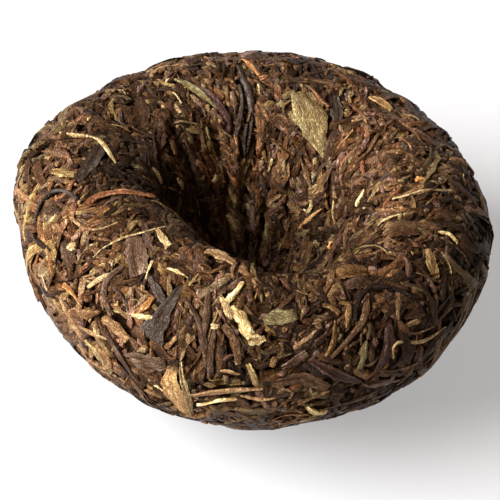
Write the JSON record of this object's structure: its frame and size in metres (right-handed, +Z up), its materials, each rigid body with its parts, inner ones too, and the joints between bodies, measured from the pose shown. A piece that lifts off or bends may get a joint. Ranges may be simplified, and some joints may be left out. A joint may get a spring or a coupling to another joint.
{
  "type": "pu-erh tuocha",
  "caption": "Bowl-shaped lump of steamed and pressed tea leaves with a deep off-centre hollow in its top, lying on its dome.",
  "frame": {"origin": "middle of the small flat spot at the bottom of the dome, which the lump rests on", "axes": "+Z up, out of the hollow; -Y towards the side of the rim that faces the viewer; +X to the viewer's right"},
  "size_m": [0.0839, 0.0837, 0.0408],
  "materials": {
    "tea": "pressed dry tea leaves, dark brown and slightly satin, with paler stems, buds and leaf pieces"
  },
  "bodies": {
    "root": {"tea_body": "tea"}
  },
  "joints": []
}
